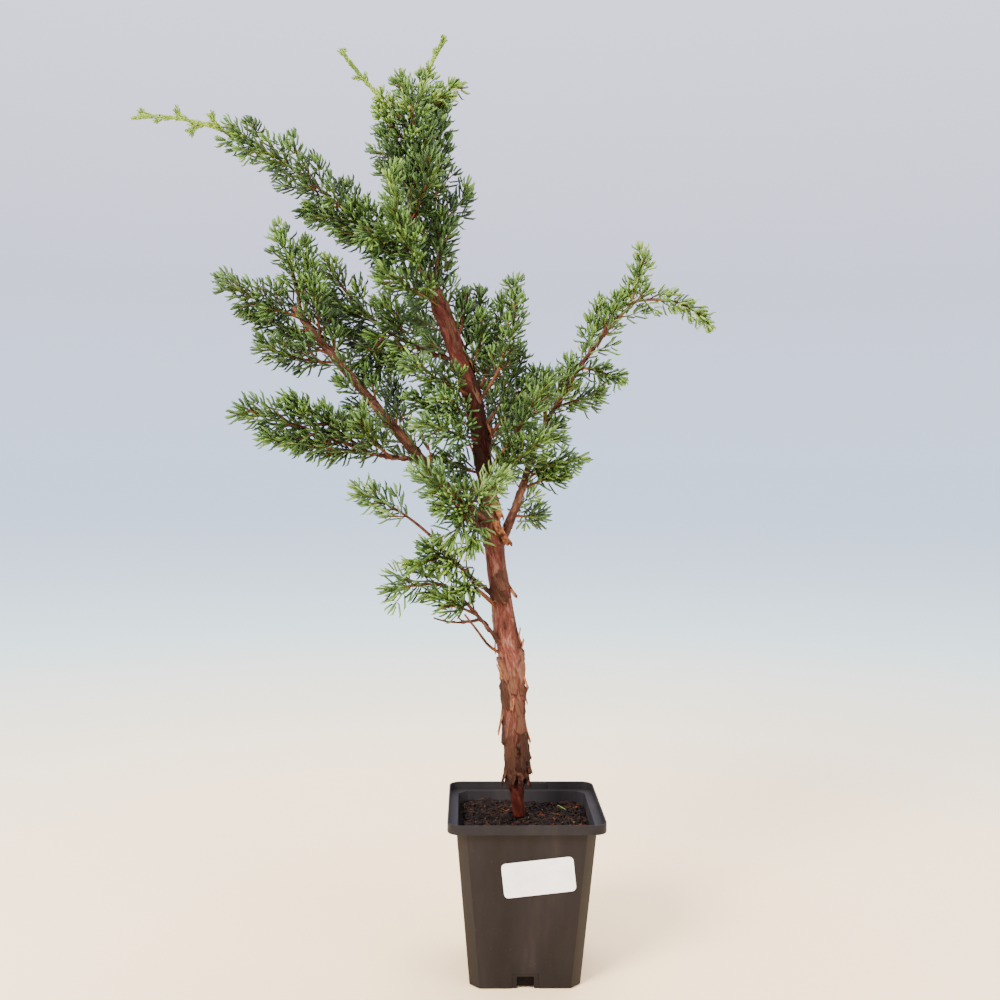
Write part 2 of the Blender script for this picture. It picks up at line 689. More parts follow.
def peeling_bark(name, pink, dark, ages, wet, scale):
    """Under-bark from pink to dark red by its place on the limb, with flakes in a tone each."""
    finish, shader = new_finish(name, 0.72, 0.07)

    def woody(stretch, size, detail, roughness):
        place = pattern_place(finish, (1, 1, stretch), "straight_place")
        return cloud(finish, place, size * scale, detail, roughness)

    def bark_level(title):
        made = finish.node_tree.nodes.new("ShaderNodeAttribute")
        made.attribute_name = title
        return made.outputs["Fac"]

    def two_tones(level, low, dark_tone, high, light_tone):
        return graded(finish, level, [(low, dark_tone), (high, light_tone)])

    grain = woody(0.10, 900, 6, 0.68)
    patches = woody(0.4, 110, 5, 0.62)
    speckle = woody(0.5, 620, 4, 0.7)
    mottle = woody(0.25, 260, 6, 0.72)
    rim_colour = two_tones(speckle, 0.35, paint(20, 10, 8), 0.65, paint(46, 26, 19))
    crack_colour = two_tones(speckle, 0.4, paint(28, 15, 10), 0.7, paint(70, 42, 29))
    pale_colour = two_tones(speckle, 0.3, paint(120, 78, 52), 0.7, paint(160, 122, 92))
    light_flesh, dark_flesh = (
        graded(finish, mottle, list(zip((0.34, 0.50, 0.64), tones))) for tones in (pink, dark)
    )
    flesh = blended(finish, graded(finish, bark_level("bark_run"), ages), light_flesh, dark_flesh)
    flesh_lines = two_tones(grain, 0.36, grey(0.55), 0.47, grey(0))
    flesh = blended(finish, flesh_lines, flesh, two_tones(patches, 0.0, dark[0], 1.0, dark[1]))
    torn = graded(finish, bark_level("bark_tone"), STRIP_TONES)
    torn = blended(finish, two_tones(patches, 0.50, grey(0), 0.66, grey(0.75)), torn, rim_colour)
    torn = blended(finish, two_tones(grain, 0.36, grey(0.8), 0.50, grey(0)), torn, crack_colour)
    pale_lines = two_tones(woody(0.07, 1500, 5, 0.7), 0.57, grey(0), 0.72, grey(0.6))
    torn = blended(finish, pale_lines, torn, pale_colour)
    coloured = blended(finish, ranged(finish, bark_level("bark_strip"), 0, 0.88), flesh, torn)
    coloured = blended(finish, graded(finish, bark_level("bark_run"), wet), coloured, rim_colour)
    rims = ranged(finish, bark_level("bark_edge"), 0, 0.95)
    coat(finish, shader, blended(finish, rims, coloured, rim_colour))
    relief(finish, shader, grain, 0.0010)
    return finish


PINK_BARK = (paint(73, 36, 28), paint(106, 60, 49), paint(144, 103, 89))
DARK_BARK = (paint(34, 11, 7), paint(58, 20, 12), paint(82, 36, 25))
STRIP_TONES = [
    (0.0, paint(24, 14, 10)),
    (0.3, paint(62, 39, 28)),
    (0.6, paint(112, 75, 56)),
    (1.0, paint(162, 126, 100)),
]
# How dark the under-bark is, and how wet the bark, at shares of the way up the trunk
TRUNK_AGES = (
    (0.0, 1), (0.07, 0.9), (0.13, 0.45), (0.25, 0.15),
    (0.5, 0.25), (0.64, 0.9), (0.9, 0.75), (1.0, 0.2),
)
TRUNK_WET = ((0.055, 0), (0.07, 0.75), (0.12, 0.5), (0.26, 0))


def grey_stops(rows):
    return [(place, grey(level)) for place, level in rows]


old_bark = peeling_bark(
    "peeling_trunk_bark", PINK_BARK, DARK_BARK, grey_stops(TRUNK_AGES), grey_stops(TRUNK_WET), 1.0
)
trunk_path = Path([Vector(row[:3]) * MM for row in TRUNK], [row[3] * MM for row in TRUNK])
dice = random.Random("trunk_flakes")
flakes = [
    flake
    for flake in loose_flakes(dice, trunk_path, LOOSE_FLAKES, (1.5, 0.34), 0.13)
    if flake.run > 0.25 or (flake.run > 0.04 and math.sin(flake.turn) < 0.1)
]
shreds = loose_flakes(dice, trunk_path, SHREDS, (0.45, 0.10), 0.16)
for run, turn, half_length, half_width, lift, tone, free_end in TRUNK_FLAKES:
    sizes = (half_length * MM, half_width * MM, lift * MM)
    flakes.append(Flake(run * MM, math.radians(90 + turn), *sizes, tone, free_end))
flakes += [shred for shred in shreds if shred.run > BARE_FOOT]
trunk = bark_limb("barked_trunk", trunk_path, TRUNK_SIDES, TRUNK_CUTS, flakes, 0.95)
for vert in trunk.data.vertices:
    if vert.co.z < SOIL_TOP + GAP:
        vert.co.z = SOIL_TOP + GAP
trunk.data.materials.append(old_bark)
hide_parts("trunk")
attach(trunk, "root")

# Loose bark strips
# Torn strips of outer bark that stay fixed at one end and stand off the trunk at the other, dark
# and damp near the soil. Each is a copy of one thin curled sheet, turned and sized to its place.
DAMP_BELOW = 66
# In mm and degrees: how far up and round it is fixed, its length, width, how far its free end
# stands off, and whether that end points up or down
LOOSE_STRIPS = (
    (245, 56, 24, 10, 5.0, "low"),
    (222, 66, 20, 11, 9.0, "low"),
    (178, 82, 15, 5, 5.5, "low"),
    (171, -30, 9, 5, 2.6, "low"),
    (166, 12, 8, 4, 2.6, "low"),
    (150, -86, 24, 5, 3.6, "low"),
    (200, 84, 14, 4, 3.0, "high"),
    (148, 88, 20, 4, 2.6, "low"),
    (128, 84, 12, 5, 2.6, "high"),
    (118, 86, 13, 6, 3.2, "high"),
    (112, 78, 15, 6, 2.6, "low"),
    (98, 92, 14, 4, 2.4, "low"),
    (86, -84, 22, 4, 4.2, "low"),
    (84, 88, 12, 6, 3.6, "high"),
    (72, 84, 16, 5, 2.8, "low"),
    (58, 92, 14, 5, 2.8, "low"),
    (50, 70, 16, 9, 3.4, "low"),
    (44, 60, 18, 6, 3.4, "low"),
    (44, -74, 16, 7, 3.4, "low"),
    (40, -20, 12, 6, 2.4, "low"),
    (42, 20, 13, 6, 2.6, "low"),
    (104, -72, 11, 6, 3.0, "high"),
    (64, 10, 13, 4, 2.2, "low"),
    (92, -8, 10, 4, 2.0, "low"),
    (248, 40, 16, 5, 3.4, "low"),
    (262, -78, 14, 4, 3.0, "high"),
    (300, 86, 22, 4, 3.2, "low"),
    (345, 84, 20, 4, 3.0, "low"),
    (130, 178, 22, 7, 3.8, "low"),
    (90, 150, 20, 7, 3.6, "low"),
    (70, -140, 18, 6, 3.4, "low"),
    (210, -160, 20, 6, 3.4, "high"),
)


def bark_sheet():
    bpy.ops.mesh.primitive_grid_add(x_subdivisions=5, y_subdivisions=8, size=2)
    sheet = bpy.context.object
    thick = sheet.modifiers.new("thickness", "SOLIDIFY")
    thick.thickness = 0.14
    settle(sheet)


def curled_sheet(point):
    """A flat sheet turned into a strip whose free end stands off, is torn, and curls inward."""
    share = (point.y + 1) / 2
    torn = 0.16 * noise.noise(Vector((point.x * 2.3, 0, 4))) * share
    width = 1 - 0.45 * share**2 + 0.25 * noise.noise(Vector((math.copysign(1, point.x), share * 4, 2)))
    return Vector((point.x * width, share**1.6 - 0.22 * point.x**2 + point.z, share + torn))


sheet = small_model(bark_sheet, curled_sheet)
strip_places = {"dry": [], "damp": []}
for run, turn, length, width, stand, free_end in LOOSE_STRIPS:
    point, along, radius = trunk_path.at(run * MM / trunk_path.length)
    out = side_at(trunk_path, along, math.radians(90 + turn))
    way = -along if free_end == "low" else along
    across = out.cross(way) * width / 2 * MM
    foot = point + out * radius * 0.97
    place = [[across[i], out[i] * stand * MM, way[i] * length * MM, foot[i]] for i in range(3)]
    strip_places["damp" if run < DAMP_BELOW else "dry"].append(place)
dry_strip = stain("dry_bark_strip", paint(56, 28, 17), paint(166, 108, 70), 190)
joined("dry_bark_strips", *copies(sheet, strip_places["dry"]), dry_strip, "bark")
damp_strip = stain("damp_bark_strip", paint(16, 9, 7), paint(76, 46, 33), 190)
joined("damp_bark_strips", *copies(sheet, strip_places["damp"]), damp_strip, "bark")

# Boughs
# The limbs that leave the trunk, and the bare twig on the lowest one. Their bark is younger,
# thin and reddish brown, cracked into small scales, and paler towards the tips.
Limb = namedtuple("Limb", "parent share tip bow foot_radius tip_radius")
LIMBS = {
    "leader": Limb("trunk", 0.94, (-80, 6, 623), (-12, 4, -12), 2.4, 1),
    "upper_left_bough": Limb("leader", 0.24, (-123, -20, 536), (0, -3, -3), 1.9, 1.2),
    "right_top_bough": Limb("trunk", 0.97, (-68.5, 12, 543), (4, 4, -4), 2, 1.1),
    "centre_left_bough": Limb("trunk", 0.83, (-128, 12, 486), (-5, 2, -6), 2, 1.1),
    "left_bough": Limb("trunk", 0.51, (-166, -12, 475), (-1, -5, 0), 4.6, 2.6),
    "lower_left_bough": Limb("left_bough", 0.36, (-121, -28, 377), (-3, -2, -2), 2, 1.2),
    "right_bough": Limb("trunk", 0.48, (7, 6, 382), (1, 4, -3), 3.6, 2.2),
    "right_arm": Limb("right_bough", 1.0, (77, -4, 483), (1, 1, 11), 2, 1.1),
    "front_bough": Limb("trunk", 0.54, (-46, -40, 341), (1, -3, 0), 2, 1.3),
    "low_bough": Limb("trunk", 0.4, (-68, -20, 315), (-3, -1, 0), 1.9, 1.1),
    "lowest_bough": Limb("trunk", 0.3, (-53, -18, 278), (0, -2, 2), 2, 1.1),
    "bare_twig": Limb("lowest_bough", 0.55, (-66, -18, 257), (0, 0, -3), 1.2, 0.6),
    "back_bough": Limb("trunk", 0.64, (-27, 62, 405), (3, 5, 0), 2.4, 1.3),
}
PATH_POINTS = 7
BOUGH_SIDES = 24
BOUGH_CUTS = (10, 9)


def bowed_path(start, bow, tip, foot_radius, tip_radius):
    """A curve from start to tip whose middle is moved off the straight line by bow."""
    bend = (start + tip) / 2 + 2 * bow
    points = []
    radii = []
    for step in range(PATH_POINTS):
        part = step / (PATH_POINTS - 1)
        points.append(start.lerp(bend, part).lerp(bend.lerp(tip, part), part))
        radii.append(foot_radius + (tip_radius - foot_radius) * part)
    return Path(points, radii)


YOUNG_PINK = (paint(63, 37, 30), paint(94, 60, 49), paint(134, 98, 82))
YOUNG_DARK = (paint(36, 18, 13), paint(58, 31, 22), paint(82, 48, 36))
BOUGH_AGES = grey_stops(((0.0, 0.9), (0.5, 0.5), (1.0, 0.2)))
BOUGH_WET = grey_stops(((0.0, 0), (1.0, 0)))
SCALE_GAP = 0.0035
paths = {"trunk": trunk_path}
young_bark = peeling_bark("young_bough_bark", YOUNG_PINK, YOUNG_DARK, BOUGH_AGES, BOUGH_WET, 1.9)
for name, limb in LIMBS.items():
    start, _, _ = paths[limb.parent].at(limb.share)
    radii = (limb.foot_radius * MM, limb.tip_radius * MM)
    paths[name] = bowed_path(start, Vector(limb.bow) * MM, Vector(limb.tip) * MM, *radii)
    scales = round(paths[name].length / SCALE_GAP)
    flakes = loose_flakes(random.Random(name), paths[name], scales, (2.0, 0.6), 0.28)
    piece = bark_limb(f"barked_{name}", paths[name], BOUGH_SIDES, BOUGH_CUTS, flakes, 0.84)
    piece.data.materials.append(young_bark)
    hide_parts(name)
    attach(piece, "root")

# Foliage
# Green needles, mostly 7 to 14 mm long, in whorls of three, set close along thin twigs that branch
# and branch again round each mass's stem. The outer whips carry short leaves pressed to the stem.
# All are dealt out by the golden angle, and joined by arrays into one piece for each tint.

# Each mass: the limb it grows on and at what share of it, its tip and bow in mm, its reach round
# the stem, the bare share of the stem, how it tapers, how fresh its green is, its needles' length
# before they are stretched, the share where it turns into a whip, and its tone
Mass = namedtuple(
    "Mass",
    "parent share tip bow reach bare taper fresh needle whip tone",
    defaults=(0.35, 0.40, 8.5, 1.0, "green"),
)
MASSES = {
    "top_spire": Mass("leader", 1.0, (-60, 6, 669), (-2, 0, 1), 10, 0.0, 0.35, 0.80, 6, whip=0.42),
    "top_left_whip": Mass("leader", 0.87, (-130, -6, 651), (2, -4, -5), 11, 0.15, 0.35, 0.82, 6, whip=0.45),
    "top_crown": Mass("leader", 0.78, (-91, -18, 631), (5, -8, 1), 19, 0.1, 0.35, 0.55, 7),
    "top_right_foliage": Mass("leader", 0.44, (-70, -16, 579), (3, -8, -2), 17, 0.1, 0.35, 0.40),
    "top_left_foliage": Mass("leader", 0.55, (-105, 20, 606), (-1, 1, -2), 19, 0.1, 0.35, 0.38, 8),
    "right_top_foliage": Mass("right_top_bough", 1.0, (-63, 12, 624), (1, 1, -3), 17, 0.0, 0.5, 0.38),
    "right_side_foliage": Mass(
        "right_top_bough", 0.75, (-45, 20, 562), (-1, 1, 0), 15, 0.1, 0.35, 0.40, 10.5
    ),
    "front_top_foliage": Mass("trunk", 0.97, (-94, -40, 565), (-8, -11, -3), 19, 0.2, 0.35, 0.52, 7.5),
    "front_left_foliage": Mass("upper_left_bough", 0.28, (-112, -44, 520), (1, -9, 2), 17, 0.1, 0.35, 0.43),
    "collar_foliage": Mass("trunk", 0.94, (-101, -32, 495), (0, -8, 0), 17, 0.2, 0.35, 0.40, 9),
    "upper_left_foliage": Mass(
        "upper_left_bough", 1.0, (-274, -36, 598), (-4, -2, 22), 24, 0.0, 0.88, 0.46, 8, whip=0.56
    ),
    "left_upright_foliage": Mass(
        "left_bough", 0.96, (-175, -16, 526), (3, 0, -1), 17, 0.05, 0.35, 0.50, 7.5
    ),
    "left_tip_foliage": Mass("left_bough", 0.95, (-209, -28, 489), (-2, -2, 0), 20, 0.1, 0.35, 0.43),
    "left_under_foliage": Mass("left_bough", 0.77, (-182, -34, 446), (-2, -3, -3), 17, 0.15, 0.35, 0.36, 9),
    "left_top_foliage": Mass("left_bough", 0.8, (-144, 26, 485), (1, 7, -1), 17, 0.15, 0.35, 0.36),
    "left_back_foliage": Mass("left_bough", 0.49, (-100, 34, 424), (2, 7, -2), 15, 0.2, 0.35, 0.30),
    "lower_left_foliage": Mass(
        "lower_left_bough", 1.0, (-194, -46, 401), (-2, -3, 3), 20, 0.0, 0.35, 0.40, 10
    ),
    "lower_left_inner": Mass(
        "lower_left_bough", 0.44, (-115, -50, 397), (-2, -8, -2), 15, 0.15, 0.35, 0.40, 9.5
    ),
    "centre_left_tip": Mass("centre_left_bough", 1.0, (-145, 14, 509), (0, 1, -1), 15, 0.0, 0.35, 0.62, 7),
    "centre_left_upper": Mass(
        "centre_left_bough", 0.44, (-102, -8, 479), (1, -2, 1), 15, 0.15, 0.35, 0.40, 9
    ),
    "centre_left_lower": Mass("centre_left_bough", 0.49, (-128, 26, 456), (-2, 2, -3), 15, 0.15, 0.35, 0.32),
    "centre_inner_foliage": Mass("trunk", 0.77, (-79, -42, 435), (-4, -10, 0), 19, 0.2, 0.35, 0.40, 9),
    "centre_low_foliage": Mass(
        "trunk", 0.69, (-73, -38, 393), (0, -7, 0), 17, 0.2, 0.35, 0.40, 9.5, tone="blue"
    ),
    "front_upper_foliage": Mass(
        "front_bough", 1.0, (-72, -56, 359), (-2, -2, 1), 17, 0.0, 0.35, 0.40, 10, tone="blue"
    ),
    "front_right_foliage": Mass(
        "front_bough", 0.83, (-21, -52, 355), (-1, -3, 0), 16, 0.15, 0.35, 0.60, 10, tone="blue"
    ),
    "front_lower_foliage": Mass(
        "front_bough", 0.79, (-53, -48, 314), (1, -4, 1), 16, 0.15, 0.35, 0.56, 10.5
    ),
    "low_tuft": Mass("low_bough", 1.0, (-117, -26, 345), (0, -1, 4), 16, 0.35, 0.35, 0.42, 10, tone="blue"),
    "low_side_foliage": Mass("low_bough", 0.69, (-80, -46, 296), (-1, -6, 2), 15, 0.2, 0.35, 0.53, 10.5),
    "lowest_foliage": Mass("lowest_bough", 1.0, (-92, -30, 278), (0, -2, 4), 19, 0.0, 0.35, 0.56, 11),
    "upright_foliage": Mass("trunk", 0.75, (-11, -16, 493), (10, -11, -1), 16, 0.25, 0.45, 0.42, 7.5),
    "upright_small_spray": Mass("trunk", 0.84, (-34, 16, 490), (3, 6, -3), 13, 0.25, 0.35, 0.36, 7.5),
    "inner_right_foliage": Mass("trunk", 0.63, (14, -30, 427), (2, -12, -1), 18, 0.3, 0.35, 0.42, 9),
    "inner_right_side": Mass("trunk", 0.6, (16, -44, 385), (2, -15, 7), 16, 0.3, 0.35, 0.42, 9.5),
    "right_arm_foliage": Mass("right_arm", 0.22, (52, 10, 417), (0, 1, 1), 14, 0.15, 0.35, 0.45, 9),
    "right_arm_upper": Mass("right_arm", 0.61, (54, 12, 481), (-1, 3, 3), 11, 0.1, 0.35, 0.50, 8),
    "right_arm_spire": Mass("right_arm", 0.94, (81, -8, 516), (2, -1, 1), 12, 0.1, 0.35, 0.60, 7),
    "right_arm_tip": Mass("right_arm", 1.0, (129, -16, 464), (4, -2, 7), 10, 0.0, 0.35, 0.66, 6.5),
    "right_low_foliage": Mass("right_bough", 0.64, (33, -8, 368), (-1, -4, 5), 16, 0.25, 0.35, 0.50, 9),
    "right_under_foliage": Mass("right_bough", 0.37, (10, 34, 328), (1, 1, -1), 14, 0.2, 0.35, 0.40, 10),
    "back_foliage": Mass("back_bough", 1.0, (-21, 86, 457), (-3, 4, 1), 19, 0.0),
    "back_low_foliage": Mass("back_bough", 0.58, (3, 84, 413), (3, 5, -2), 16, 0.15),
    "back_left_foliage": Mass("trunk", 0.79, (-85, 78, 490), (-9, 18, 5), 18, 0.35),
}
# The same for small twigs that fill in between the masses
TWIGS = {
    "left_upright_twig": Mass("left_bough", 0.95, (-156, -20, 517), (3, 0, 2), 14, 0.2, 0.35, 0.50, 7.5),
    "left_middle_stem_twig": Mass("left_bough", 0.86, (-150, -24, 490), (0, 0, 0), 13, 0.1, 0.35, 0.40),
    "left_tip_twig": Mass("left_bough", 0.90, (-196, -16, 469), (-1, 0, -2), 12, 0.2, 0.35, 0.40),
    "left_middle_twig": Mass("centre_left_bough", 0.62, (-122, -6, 434), (0, 0, -3), 14, 0.2, 0.35, 0.38),
    "left_outer_twig": Mass("centre_left_bough", 0.80, (-126, -2, 474), (0, 0, -3), 13, 0.1, 0.35, 0.40),
    "left_lower_twig": Mass("centre_left_bough", 0.50, (-116, -2, 425), (0, 2, -3), 12, 0.2, 0.35, 0.34),
    "left_under_twig": Mass("left_bough", 0.80, (-168, -12, 456), (0, 0, -1), 12, 0.1, 0.35, 0.36),
    "inner_upper_twig": Mass("trunk", 0.71, (-82, -22, 411), (0, -2, 0), 13, 0.3, 0.35, 0.36),
    "trunk_right_twig": Mass("trunk", 0.68, (0, -8, 425), (2, 0, 0), 12, 0.2, 0.35, 0.36),
    "trunk_side_twig": Mass("trunk", 0.60, (-12, -10, 379), (2, -2, 0), 11, 0.2, 0.35, 0.40, 9),
    "right_middle_twig": Mass("right_bough", 0.95, (22, 4, 395), (1, 0, 0), 11, 0.1, 0.35, 0.36, 9),
    "right_front_twig": Mass("right_bough", 0.60, (25, -8, 358), (0, 0, 1), 11, 0.3, 0.35, 0.50, 9),
    "arm_side_twig": Mass("right_arm", 0.70, (68, -2, 488), (0, 0, 1), 8, 0.1, 0.35, 0.56, 7.5),
    "inner_front_twig": Mass("trunk", 0.72, (-62, -36, 412), (0, -3, 0), 13, 0.3, 0.35, 0.40, tone="blue"),
    "inner_low_twig": Mass("trunk", 0.63, (-60, 4, 370), (0, 2, -2), 15, 0.1, 0.35, 0.30, 9),
    "inner_lower_twig": Mass("trunk", 0.60, (-48, 2, 352), (0, 2, -3), 14, 0.1, 0.35, 0.30, 9),
    "upright_left_twig": Mass("trunk", 0.76, (-18, 4, 482), (4, 2, 0), 13, 0.2, 0.35, 0.36, 7.5),
    "upright_inner_twig": Mass("trunk", 0.80, (-34, -8, 470), (4, 0, 0), 12, 0.1, 0.35, 0.36),
    "upright_low_twig": Mass("trunk", 0.70, (-6, 0, 446), (4, 0, 0), 12, 0.25, 0.35, 0.36),
    "right_gap_twig": Mass("right_arm", 0.10, (6, 2, 430), (2, 0, 2), 12, 0.2, 0.35, 0.42, 9),
    "right_upper_twig": Mass("right_arm", 0.16, (34, 6, 438), (0, 0, 1), 13, 0.1, 0.35, 0.44, 9),
    "right_side_twig": Mass("right_arm", 0.50, (66, -6, 427), (0, 0, 1), 8, 0.15, 0.35, 0.48, 7.5),
    "left_hanging_twig": Mass("left_bough", 0.62, (-127, -12, 396), (0, 0, -1), 11, 0.2, 0.35, 0.36),
    "middle_low_twig": Mass("centre_left_bough", 0.30, (-94, -6, 434), (0, -1, -2), 12, 0.25, 0.35, 0.36),
    "yellow_twig": Mass("right_bough", 0.72, (12, 0, 361), (1, 0, 2), 12, 0.2, 0.35, 0.58, 9),
    "front_middle_twig": Mass("front_bough", 0.70, (-60, -52, 337), (0, -3, 0), 13, 0.2, 0.35, 0.53, 10),
    "front_hanging_twig": Mass("front_bough", 0.60, (-40, -50, 309), (1, -3, 0), 12, 0.25, 0.35, 0.56, 10.5),
    "low_middle_twig": Mass("low_bough", 0.55, (-54, -40, 296), (0, -2, 1), 11, 0.25, 0.35, 0.53, 10.5),
    "low_inner_twig": Mass("low_bough", 0.30, (-44, -30, 279), (0, -2, 1), 9, 0.3, 0.35, 0.53, 10),
    "lowest_inner_twig": Mass("lowest_bough", 0.60, (-62, -30, 274), (0, -2, 0), 11, 0.3, 0.35, 0.56, 10),
    "low_front_twig": Mass("low_bough", 0.62, (-68, -42, 308), (0, -1, 1), 11, 0.2, 0.35, 0.53, 10.5),
    "middle_upper_twig": Mass("centre_left_bough", 0.40, (-92, -8, 444), (0, -1, 2), 12, 0.2, 0.35, 0.38),
    "neck_right_twig": Mass("trunk", 0.86, (-46, -2, 484), (2, -2, 0), 12, 0.2, 0.35, 0.38),
    "shoulder_twig": Mass("upper_left_bough", 0.30, (-107, -12, 514), (0, 0, 0), 13, 0.2, 0.35, 0.40),
    "stub_twig": Mass("trunk", 0.98, (-63, -2, 541), (2, 0, 0), 13, 0.1, 0.35, 0.38, 8.5),
    "crown_right_twig": Mass("leader", 0.95, (-52, 0, 634), (2, 0, 2), 11, 0.1, 0.35, 0.66, 7),
    "crown_left_twig": Mass("leader", 0.80, (-106, -4, 616), (-2, 0, 0), 10, 0.1, 0.35, 0.60, 7),
    "crown_middle_twig": Mass("leader", 0.50, (-72, -12, 600), (0, -3, 0), 14, 0.1, 0.35, 0.40, 8),
    "neck_twig": Mass("trunk", 0.92, (-76, -6, 508), (0, -3, 0), 14, 0.1, 0.35, 0.38, 8.5),
    "under_left_twig": Mass("upper_left_bough", 0.62, (-124, -24, 543), (-2, 0, -3), 13, 0.1, 0.35, 0.38),
    "under_middle_twig": Mass("upper_left_bough", 0.78, (-150, -26, 541), (-2, 0, -2), 13, 0.1, 0.35, 0.38),
    "lower_left_top_twig": Mass("lower_left_bough", 0.80, (-164, -44, 410), (-2, 0, 2), 12, 0.1, 0.35, 0.42),
    "lower_left_under_twig": Mass(
        "lower_left_bough", 0.80, (-180, -44, 384), (-2, 0, -1), 10, 0.1, 0.35, 0.40
    ),
}
# Short shoots straight on a limb: from and to which share of it, how far apart, and how long
Spray = namedtuple("Spray", "limb low high gap length needle fresh")
SPRAYS = (
    Spray("trunk", 0.66, 0.98, 4.2, 20, 9, 0.34),
    Spray("leader", 0.22, 1.0, 3.4, 22, 8, 0.42),
    Spray("upper_left_bough", 0.15, 1.0, 3.6, 23, 8.5, 0.40),
    Spray("right_top_bough", 0.3, 1.0, 4.5, 20, 8.5, 0.38),
    Spray("centre_left_bough", 0.25, 1.0, 4.2, 20, 8.5, 0.38),
    Spray("left_bough", 0.30, 0.97, 5.5, 17, 8.5, 0.36),
    Spray("lower_left_bough", 0.55, 1.0, 5.5, 18, 9.5, 0.40),
    Spray("front_bough", 0.4, 1.0, 4.5, 18, 10, 0.42),
    Spray("lowest_bough", 0.70, 1.0, 11, 15, 10.5, 0.45),
    Spray("right_bough", 0.4, 0.95, 9, 17, 9, 0.42),
    Spray("right_arm", 0.10, 1.0, 6.5, 14, 7.5, 0.55),
    Spray("back_bough", 0.5, 1.0, 6, 18, 8.5, 0.40),
)
GOLDEN_ANGLE = math.radians(137.5)
STEM_END = 0.985
SHOOT_GAP = 0.0037
LONG_NEEDLE = 10
LONG_NEEDLE_GAP = 1.45
SHOOT_LEAN = math.radians(58)
SHOOT_LIFT = 0.05
SHOOT_SHARE = 1.17
BRANCH_GAP = 0.0092
BRANCH_LEAN = math.radians(38)
BRANCH_SHARE = 0.50
WHORL_GAP = 0.0043
NEEDLE_WIDTH = 0.00188
NEEDLE_SHARE = 1.56
STEM_RADIUS = 0.0012
SHOOT_RADIUS = 0.00055
TWIGLET_GAP = 0.0125
TWIGLET_LENGTHS = (0.010, 0.016)
WHIP_WIDTH = 0.0012
WHIP_GAP = 0.0013
LOBE_LENGTH = 0.0056
LOBE_TURN = 0.7
LOBE_RADII = (0.0010, 0.0006)
SPRAY_LEAN = 0.95
WOOD_ROOM = 0.0004
NEEDLE_TINTS = {
    "shaded": (paint(18, 27, 10), paint(30, 43, 16)),
    "deep": (paint(35, 50, 21), paint(52, 70, 31)),
    "leaf": (paint(52, 74, 31), paint(76, 100, 46)),
    "fresh": (paint(76, 105, 42), paint(101, 130, 58)),
    "tip": (paint(104, 132, 50), paint(136, 157, 70)),
    "sage": (paint(44, 65, 30), paint(64, 89, 42)),
    "glaucous": (paint(68, 96, 47), paint(95, 123, 62)),
    "frosted": (paint(98, 128, 66), paint(130, 154, 88)),
}
TONES = {
    "green": ("shaded", "deep", "leaf", "fresh", "tip"),
    "blue": ("deep", "sage", "glaucous", "frosted", "fresh"),
}
TWIG_TINTS = {
    "brown": (paint(62, 35, 25), paint(114, 69, 47), 5),
    "green": (paint(62, 78, 22), paint(102, 108, 36), 4),
    "lime": (paint(112, 126, 28), paint(140, 150, 40), 5),
}

wood_points = []
for name, path in paths.items():
    steps = max(2, round(path.length / 0.0015))
    for step in range(steps + 1):
        point, _, radius = path.at(step / steps)
        wood_points.append((point, radius))
wood = KDTree(len(wood_points))
for index, (point, _) in enumerate(wood_points):
    wood.insert(point, index)
wood.balance()
EDGE_ROOM = 0.0012


def has_room(point):
    """Whether a needle may end here: inside the plant's own reach, and not in the wood."""
    for value, low, high in zip(point, *solid_box):
        if value < low + EDGE_ROOM or value > high - EDGE_ROOM:
            return False
    _, index, far = wood.find(point)
    return far > wood_points[index][1] + WOOD_ROOM


twigs = {kind: [] for kind in TWIG_TINTS}
needles = {tint: [] for tint in NEEDLE_TINTS}


def add_whorl(dice, point, along, roll, lean, size, width, tone, fresh):
    """Three needles round a twig, which lean to its tip."""
    side = along.orthogonal().normalized()
    for third in range(3):
        out = Matrix.Rotation(roll + third * 2 * math.pi / 3 + dice.gauss(0, 0.22), 3, along) @ side
        angle = lean + dice.gauss(0, 0.13)
        way = along * math.cos(angle) + out * math.sin(angle)
        length = size * dice.uniform(0.78, 1.15)
        if has_room(point + way * length):
            level = int((fresh + dice.gauss(0, 0.09)) * 5)
            across = way.cross(out).normalized() * width
            face = across.cross(way)
            rows = [[across[i], face[i], way[i] * length, point[i]] for i in range(3)]
            needles[TONES[tone][max(0, min(4, level))]].append(rows)


def add_needles(dice, points, size, tone, fresh, bare=0.0):
    """Whorls of needles along a twig from its bare foot to its tip."""
    path = Path(points, [0] * len(points))
    count = max(2, round(path.length * (1 - bare) / (WHORL_GAP * (0.4 + 0.6 * size / 0.009))))
    roll = dice.uniform(0, math.pi)
    for number in range(count):
        share = bare + (1 - bare) * (number + 0.7) / count
        point, along, _ = path.at(min(1.0, share))
        lean = math.radians(49 - 22 * share**2)
        shorter = 1 - 0.38 * max(0.0, share - 0.6) / 0.4
        tint = fresh - 0.05 + 0.14 * share
        turned = roll + number * math.pi / 3
        add_whorl(dice, point, along, turned, lean, size * shorter, NEEDLE_WIDTH, tone, tint)
    along = (points[-1] - points[-2]).normalized()
    add_whorl(dice, points[-1], along, roll, 0.30, size * 0.6, NEEDLE_WIDTH, tone, fresh + 0.12)


def add_scales(dice, points, fresh, size, lean):
    """Short leaves pressed to a whip, which make it look braided."""
    path = Path(points, [0] * len(points))
    count = max(2, round(path.length / WHIP_GAP))
    roll = dice.uniform(0, math.pi)
    for number in range(count):
        point, along, _ = path.at((number + 0.5) / count)
        angle = math.radians(lean * dice.uniform(0.7, 1.3))
        add_whorl(dice, point, along, roll + number * math.pi / 3, angle, size, WHIP_WIDTH, "green", fresh)


